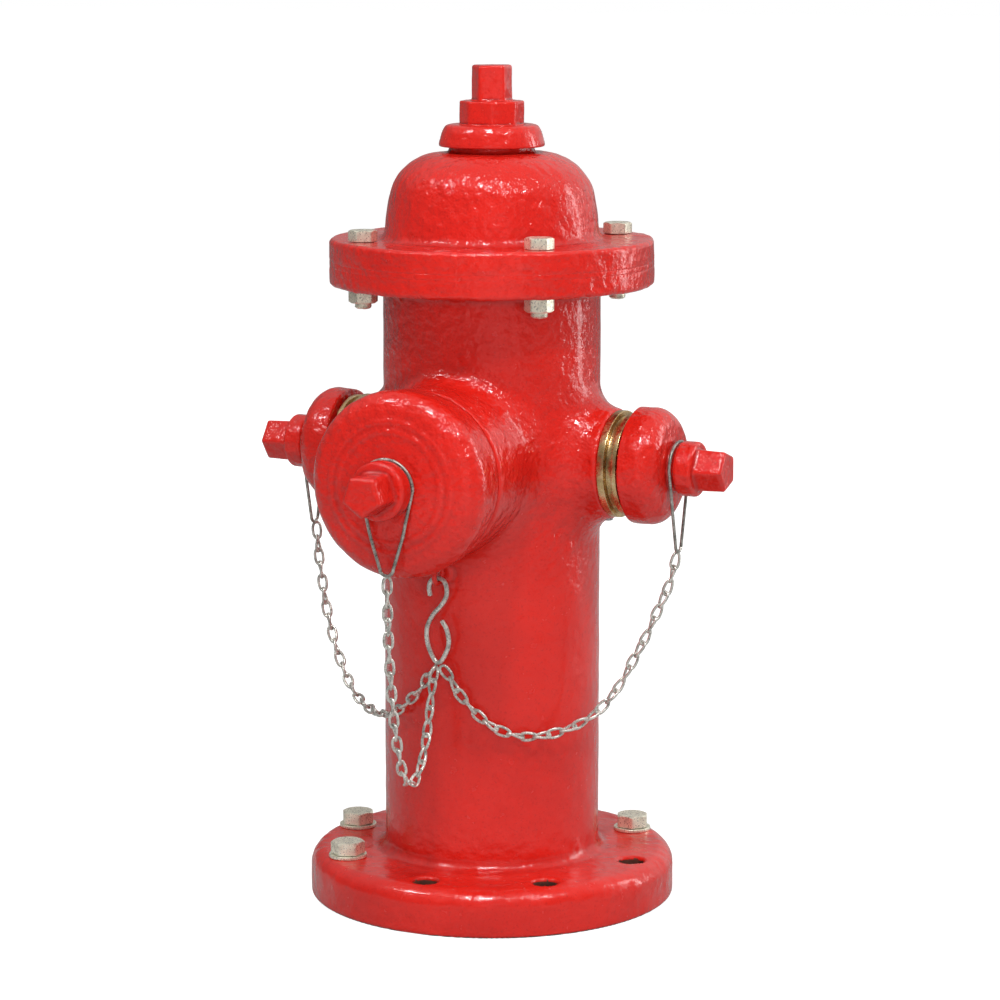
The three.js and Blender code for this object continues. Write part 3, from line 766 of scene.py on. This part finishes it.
def barrel_flat(points):
    """The long lower shell is smoother than the flanges and bosses."""
    z = points[:, 2]
    r = np.hypot(points[:, 0], points[:, 1])
    shell = np.clip((112 - r) / 8, 0, 1) * np.clip((z - 50) / 20, 0, 1)
    machined = (z < 3) | (z > TOP_FLANGE_TOP - 3) | (r < WATERWAY_R + 3)
    return np.where(machined, 0.0, 1 - 0.62 * shell)


def unpainted(x, y, z):
    """The barrel's inside, its underside and the walls of the open bolt holes."""
    inside = (np.hypot(x, y) < WATERWAY_R + 4) | (z < 1.5)
    for degrees in BASE_ANGLES:
        hx, hy, _ = around(BASE_BOLT_CIRCLE_R, degrees)
        inside = inside | ((np.hypot(x - hx, y - hy) < BASE_HOLE_R + 0.8) & (z < BASE_TOP - 2.5))
    return inside


def under_dome(x, y, z):
    """The bonnet's unpainted inside."""
    return (dome_field(np.hypot(x, y), z, 5.0) < 0) & (z < NECK_TOP - 20)


def dome_field(r, z, inset):
    """The bonnet's outline, inset by a wall thickness."""
    dr, dz = r - DOME["centre_r"], z - DOME["centre_z"]
    slope = math.radians(DOME["slope"])
    cone = dr * math.cos(slope) + dz * math.sin(slope) - DOME["arc"]
    sides = np.maximum(cone, dz - DOME["arc"])
    crown = np.hypot(dr, dz) - DOME["arc"]
    in_crown = (dr > 0) & (dz > dr * math.tan(slope))
    return round_max(np.where(in_crown, crown, sides) + inset, r - DOME["radius"] + inset, 10)


def bonnet_field(x, y, z):
    r = np.hypot(x, y)
    flange = round_max(round_max(r - TOP_FLANGE_R, z - BONNET_FLANGE_TOP, 4), BONNET_BOTTOM - z, 1.2)
    dome = np.maximum(dome_field(r, z, 0.0), BONNET_BOTTOM - z)
    neck = round_max(r - 40, z - NECK_TOP, 1.5)
    dome = round_min(dome, np.maximum(neck, 640 - z), 4)
    body = np.maximum(round_min(flange, dome, 9), BONNET_BOTTOM - z)
    boss = round_max(np.hypot(x, z - OIL_PLUG_Z) - 13, y - 103, 1.5)
    body = round_min(body, np.maximum(boss, 60 - y), 5)
    tube = np.maximum(r - 40, 636 - z)
    cavity = np.maximum(dome_field(r, z, DOME["wall"] - 0.5), -tube)
    body = round_max(body, -cavity, 1.0)
    bore = np.minimum(np.maximum(r - 31, 699.7 - z), np.maximum(r - 31, z - 651))
    bore = np.minimum(bore, r - 25.5)
    body = round_max(body, -bore, 1.0)
    plug_hole = np.maximum(np.hypot(x, z - OIL_PLUG_Z) - 6.4, 70 - y)
    body = round_max(body, -plug_hole, 0.8)
    for degrees in BONNET_ANGLES:
        hx, hy, _ = around(BONNET_BOLT_CIRCLE_R, degrees)
        body = round_max(body, -(np.hypot(x - hx, y - hy) - 9), 1.0)
    return body


def bonnet_flat(points):
    r = np.hypot(points[:, 0], points[:, 1])
    machined = (points[:, 2] < BONNET_BOTTOM + 3) | (r < 38)
    return np.where(machined, 0.0, 1.0)


def prism(x, y, sides, apothem, turn):
    """A regular prism's field: apothem is from the middle to a flat, turn the angle of one corner."""
    result = None
    for i in range(sides):
        a = turn + math.pi / sides + 2 * math.pi * i / sides
        plane = x * math.cos(a) + y * math.sin(a) - apothem
        result = plane if result is None else np.maximum(result, plane)
    return result


def five_sided(x, y, z, bottom, top, turn):
    flat = NUT_R * math.cos(math.pi / 5)
    apothem = flat - 0.75 * np.clip((z - bottom) / (top - bottom), 0, 1)
    sides = prism(x, y, 5, 0, turn) - apothem
    corner = np.hypot(x, y) - (NUT_R - 1.0)
    sides = round_max(sides, corner, 1.5)
    return round_max(sides, z - top, 3.0)


def cap_field(size):
    def field(x, y, z):
        r = np.hypot(x, y)
        start, face = size["cap_start"], size["cap_face"]
        front = z - face + size["dome"] * (r / size["cap"]) ** 2
        rear = np.clip((face - z) / (face - start), 0, 1)
        skirt = r - size["cap"] + size["taper"] * rear
        for ridge in size["ridges"]:
            front = front - 0.9 * np.exp(-(((r - ridge) / 2.6) ** 2))
        body = round_max(round_max(skirt, front, size["edge"]), start - z, 1.6)
        neck = np.maximum(r - size["neck"], z - size["collar_start"] - 3)
        body = round_min(body, np.maximum(neck, start + 10 - z), 1.2)
        middle = (size["collar_start"] + size["nut_start"]) / 2
        half = (size["nut_start"] - size["collar_start"]) / 2
        collar = round_max(r - size["collar"], np.abs(z - middle) - half, 3.5)
        body = round_min(body, collar, 1.5)
        nut = five_sided(x, y, z, size["nut_start"], size["tip"], -math.pi / 2)
        body = round_min(body, np.maximum(nut, size["nut_start"] - 6 - z), 3.0)
        bore = np.maximum(r - size["thread"] - 0.4, z - size["end"] - 5.3)
        return round_max(body, -bore, 1.0)

    return field


def cap_flat(size):
    def flat(points):
        r = np.hypot(points[:, 0], points[:, 1])
        inside = (r < size["thread"] + 1.5) & (points[:, 2] < size["end"] + 6.5)
        nut = np.clip((size["collar"] + 8 - r) / 6, 0, 1)
        return np.where(inside, 0.0, 1 - 0.7 * nut)

    return flat


def hold_down_field(x, y, z):
    r = np.hypot(x, y)
    octagon = prism(x, y, 8, 31 * math.cos(math.pi / 8), CAMERA_AZIMUTH - math.pi / 2)
    octagon = round_max(octagon, r - 30.4, 1.2)
    middle = (HOLD_DOWN_BOTTOM + HOLD_DOWN_TOP) / 2
    octagon = round_max(octagon, np.abs(z - middle) - (HOLD_DOWN_TOP - middle), 1.8)
    threaded = np.maximum(r - 30.6, np.abs(z - 724) - 12.7)
    body = np.minimum(octagon, threaded)
    return round_max(body, 20.6 - r, 0.8)


def operating_nut_field(x, y, z):
    r = np.hypot(x, y)
    foot = HOLD_DOWN_TOP + 0.3
    nut = five_sided(x, y, z, foot, NUT_TOP, CAMERA_AZIMUTH - math.pi / 2 + math.pi / 5)
    nut = np.maximum(nut, foot - z)
    shaft = np.maximum(r - 20, np.abs(z - 733) - 26)
    groove = np.maximum(17 - r, np.abs(z - 730.3) - 2.3)
    shaft = np.maximum(shaft, -groove)
    thrust = round_max(r - 30, np.abs(z - 704) - 4, 0.6)
    sleeve = round_max(r - 25, np.abs(z - 678) - 23, 0.8)
    body = np.minimum(round_min(nut, shaft, 0.8), np.minimum(thrust, sleeve))
    return np.maximum(body, -np.maximum(r - 13.1, z - 751))


PLACING = {
    "right": Matrix.Translation((0, 0, NOZZLE_Z * MM)) @ Matrix.Rotation(math.pi / 2, 4, "Y"),
    "left": Matrix.Translation((0, 0, NOZZLE_Z * MM)) @ Matrix.Rotation(-math.pi / 2, 4, "Y"),
    "pumper": Matrix.Translation((0, 0, NOZZLE_Z * MM)) @ Matrix.Rotation(math.pi / 2, 4, "X"),
}
NOZZLES = {
    "right": ("hose_nozzle_right", "hose_cap_right", HOSE),
    "left": ("hose_nozzle_left", "hose_cap_left", HOSE),
    "pumper": ("pumper_nozzle", "pumper_cap", PUMPER),
}
COARSE = [(30, 0.42), (13, 0.34), (6, 0.16)]
FINE = [(14, 0.20), (7, 0.16)]
NUT_VOXEL = 1.1


def add_castings():
    voxel = 2.2
    mesh = casting_mesh(
        "barrel", barrel_field, (-BASE_R, -BASE_R, 0), (BASE_R, BASE_R, TOP_FLANGE_TOP), voxel,
        COARSE, barrel_flat,
    )
    add_piece(mesh, "barrel", PAINT_BARREL)
    coat_faces(mesh, IRON, unpainted)
    mesh = casting_mesh(
        "bonnet", bonnet_field, (-TOP_FLANGE_R, -TOP_FLANGE_R, BONNET_BOTTOM),
        (TOP_FLANGE_R, TOP_FLANGE_R, NECK_TOP), voxel * 0.9, COARSE, bonnet_flat,
    )
    add_piece(mesh, "bonnet", PAINT)
    coat_faces(mesh, IRON, under_dome)
    low, high = (-31, -31, 711), (31, 31, HOLD_DOWN_TOP)
    mesh = casting_mesh("hold_down_nut", hold_down_field, low, high, NUT_VOXEL, FINE)
    add_piece(mesh, "hold_down_nut", PAINT_NUTS)
    low, high = (-30, -30, 655), (30, 30, NUT_TOP)
    mesh = casting_mesh("operating_nut", operating_nut_field, low, high, NUT_VOXEL, FINE)
    add_piece(mesh, "operating_nut", PAINT_NUTS, "operating_screw")


def add_seam_paint():
    """Paint that bridges the joint between the two flanges and hides the gasket's edge."""
    low, high = TOP_FLANGE_TOP - 3.0, BONNET_BOTTOM + 3.0
    outline = [(149.8, low), (152.6, low + 1.0), (152.6, high - 1.0), (149.8, high)]
    mesh = lathe_mesh("flange_seam_paint", soften(outline, 1.2), 180)
    add_piece(mesh, None, PAINT, name="flange_seam_paint")


def add_weather_cap():
    outline = [
        (31, 727.3), (43.3, 727.3), (44.5, 715.5), (49.2, 715.5), (49.8, 718), (46.6, 729.5),
        (43.4, 735), (39, 736.2), (31, 736.2),
    ]
    mesh = lathe_mesh("weather_cap", soften(outline, 2.0), 144)
    add_piece(mesh, "weather_cap", PAINT_NUTS)


# ---- Nozzles and caps --------------------------------------------------------------------------


def nozzle_outline(size):
    flange = size["boss_end"] + 0.3
    return [
        (size["bore"], size["inner"]), (size["body"], size["inner"]), (size["body"], flange),
        (size["flange"], flange), (size["flange"], flange + 7), (size["groove"], flange + 7.5),
        (size["groove"], size["shoulder_end"] - 5.5), (size["shoulder"], size["shoulder_end"] - 5),
        (size["shoulder"], size["shoulder_end"]), (size["thread"] - 2.4, size["shoulder_end"]),
        (size["thread"] - 2.4, size["end"]), (size["bore"], size["end"]),
    ]


def thread_arrays(size):
    """A helical ridge on the nozzle's spout, fading out at both ends."""
    steps = 60
    start, end = size["shoulder_end"] + 2, size["end"] - 1.5
    turns = (end - start) / size["pitch"]
    count = int(turns * steps)
    root, crest = size["thread"] - 2.6, size["thread"] - 0.2
    points, faces = [], []
    for k in range(count + 1):
        a = 2 * math.pi * k / steps
        z = start + size["pitch"] * k / steps
        fade = min(1.0, k / 20, (count - k) / 20)
        top = root + (crest - root) * fade
        for radius, offset in ((root, -0.42), (top, -0.10), (top, 0.10), (root, 0.42)):
            height = z + offset * size["pitch"]
            points.append((radius * math.cos(a), radius * math.sin(a), height))
    for k in range(count):
        for i in range(4):
            j = (i + 1) % 4
            faces.append((4 * k + i, 4 * k + 4 + i, 4 * k + 4 + j, 4 * k + j))
    faces += [(0, 1, 2, 3), (4 * count + 3, 4 * count + 2, 4 * count + 1, 4 * count)]
    return points, faces


def painted_ring(x, y, z):
    """The pumper nozzle was painted over where it shows between its boss and its cap."""
    return (np.hypot(x, y) > PUMPER["thread"] - 1) & (z > PUMPER["boss_end"] - 1)


def add_nozzles():
    for side, (nozzle, cap, size) in NOZZLES.items():
        mesh = lathe_mesh(nozzle, soften(nozzle_outline(size), 0.9), 144)
        add_piece(mesh, nozzle, BRONZE, placing=PLACING[side])
        if side == "pumper":
            coat_faces(mesh, PAINT, painted_ring)
        points, faces = thread_arrays(size)
        mesh = new_mesh(nozzle + "_thread", points, faces, 30)
        add_piece(mesh, None, BRONZE, placing=PLACING[side], name=nozzle + "_thread")
        reach = size["cap"]
        mesh = casting_mesh(
            cap, cap_field(size), (-reach, -reach, size["cap_start"]), (reach, reach, size["tip"]),
            1.25, COARSE, cap_flat(size),
        )
        add_piece(mesh, cap, PAINT, side + "_cap", PLACING[side])
        add_loop(side, size)


# ---- Fasteners ---------------------------------------------------------------------------------


def hex_radius(degrees, flat):
    """The distance to a hexagon's side, with its corner slightly broken."""
    off = (degrees + 30) % 60 - 30
    exact = flat / math.cos(math.radians(off))
    broken = flat / math.cos(math.radians(28.4)) * 1.002
    return min(exact, broken)


def hex_mesh(name, flat, bottom, top, bore=None, shank=None, both_ends=False):
    """A hexagon head or nut with its chamfered corners. shank is (radius, lowest point)."""
    offsets = (-30, -28.2, -21, -11, 0, 11, 21, 28.2)
    angles = [60 * side + offset for side in range(6) for offset in offsets]
    slope = math.tan(math.radians(30))
    chamfer = flat * 0.965

    def hex_ring(z, direction):
        return [
            (hex_radius(a, flat), z - direction * max(0.0, hex_radius(a, flat) - chamfer) * slope)
            for a in angles
        ]

    def circle(radius, z):
        return [(radius, z)] * len(angles)

    low_side = -1 if both_ends else 0
    rings = []
    if shank:
        radius, foot = shank
        rings += [circle(radius - 1.6, foot), circle(radius, foot + 1.4), circle(radius, bottom)]
    else:
        rings += [circle(bore, bottom)]
    rings += [circle(flat * 0.95, bottom), hex_ring(bottom + 0.4, low_side), hex_ring(top, 1)]
    rings += [circle(chamfer, top)]
    rings += [circle(bore, top)] if bore else [circle(flat * 0.55, top), circle(0.4, top)]
    points = [
        (r * math.cos(math.radians(a)), r * math.sin(math.radians(a)), z)
        for ring in rings
        for a, (r, z) in zip(angles, ring)
    ]
    n, count = len(angles), len(rings)
    faces = []
    for k in range(count if bore else count - 1):
        for i in range(n):
            j = (i + 1) % n
            there = (k + 1) % count
            faces.append((k * n + i, k * n + j, there * n + j, there * n + i))
    if not bore:
        faces.append(tuple(reversed(range(n))))
        faces.append(tuple((count - 1) * n + i for i in range(n)))
    return new_mesh(name, points, faces, 28)


def screw_ridge(name, radius, pitch, bottom, top):
    size = dict(thread=radius + 0.25, shoulder_end=bottom - 2, end=top + 1.5, pitch=pitch)
    points, faces = thread_arrays(size)
    return new_mesh(name, points, faces, 30)


def add_fasteners():
    for i, degrees in enumerate(BONNET_ANGLES, 1):
        turn = Matrix.Rotation(CAMERA_AZIMUTH - math.pi / 2 + math.radians(3 * i - 6), 4, "Z")
        at = Matrix.Translation(around(BONNET_BOLT_CIRCLE_R * MM, degrees)) @ turn
        bottom = BONNET_FLANGE_TOP + 0.3
        mesh = hex_mesh("bonnet_bolt", BONNET_HEX, bottom, bottom + 10.7, shank=(7.6, 568))
        add_piece(mesh, f"bonnet_bolt_{i}", BOLT_ZINC, placing=at)
        top = TOP_FLANGE_BOTTOM - 0.3
        mesh = hex_mesh("bonnet_nut", BONNET_HEX, top - 13, top, bore=8.2, both_ends=True)
        add_piece(mesh, f"bonnet_nut_{i}", BOLT_ZINC, placing=at)
        mesh = screw_ridge("bonnet_bolt_thread", 7.9, 2.0, 568.5, 572)
        add_piece(mesh, None, BOLT_ZINC, placing=at, name=f"bonnet_bolt_{i}_thread")
    for i, degrees in enumerate(BASE_ANGLES[3:], 1):
        turn = Matrix.Rotation(math.radians(23 * i), 4, "Z")
        at = Matrix.Translation(around(BASE_BOLT_CIRCLE_R * MM, degrees)) @ turn
        low, high = span(f"base_bolt_{i}", 2)
        mesh = hex_mesh("base_bolt", BASE_HEX, high - 12, high, shank=(9.3, low))
        add_piece(mesh, f"base_bolt_{i}", BOLT_ZINC, placing=at)
        foot = BASE_TOP + 0.3
        ring = [(10.2, foot), (18, foot), (18, foot + 3), (10.2, foot + 3)]
        mesh = lathe_mesh("base_washer", soften(ring, 0.6), 72)
        add_piece(mesh, f"base_washer_{i}", BOLT_ZINC, placing=at)


def add_small_pieces():
    for nozzle, _, _ in NOZZLES.values():
        low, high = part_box(nozzle + "_screw")
        middle = (low + high) / 2
        at = Matrix.Translation((middle.x, middle.y, 0))
        foot = low.z / MM
        tip = high.z / MM
        outline = [(0.01, foot), (4.8, foot), (5.0, foot + 3), (3, foot + 3), (3, tip), (0.01, tip)]
        mesh = lathe_mesh(nozzle + "_screw", soften(outline, 0.8), 48)
        add_piece(mesh, nozzle + "_screw", STEEL, placing=at)
    at = Matrix.Translation((0, 0, OIL_PLUG_Z * MM)) @ Matrix.Rotation(-math.pi / 2, 4, "X")

    def plug_field(x, y, z):
        square = round_max(prism(x, y, 4, 9 * math.cos(math.pi / 4), 0.0), np.abs(z - 106.6) - 3.3, 1.0)
        return np.minimum(square, np.maximum(np.hypot(x, y) - 6, np.abs(z - 98) - 6))

    mesh = casting_mesh("oil_fill_plug", plug_field, (-8, -8, 92), (8, 8, 110), 0.7)
    add_piece(mesh, "oil_fill_plug", PAINT_NUTS, placing=at)


def dress_frame():
    """The CAD nodes that stay get their own procedural materials."""
    finishes = {
        "bronze": BRONZE, "bare_steel": STEEL, "black_rubber": RUBBER, "zinc_plate": ZINC,
        "red_enamel": PAINT,
    }
    slots = {part["node"]: part["material_slot"] for part in frame["record"]["subparts"]}
    for node, piece in frame["nodes"].items():
        if piece.hide_render:
            continue
        finish = finishes[slots[node]]
        if not piece.material_slots:
            piece.data.materials.append(finish)
        for material_slot in piece.material_slots:
            material_slot.material = finish


add_castings()
add_seam_paint()
add_weather_cap()
add_nozzles()
add_hook()
add_eye()
add_fasteners()
add_small_pieces()
dress_frame()
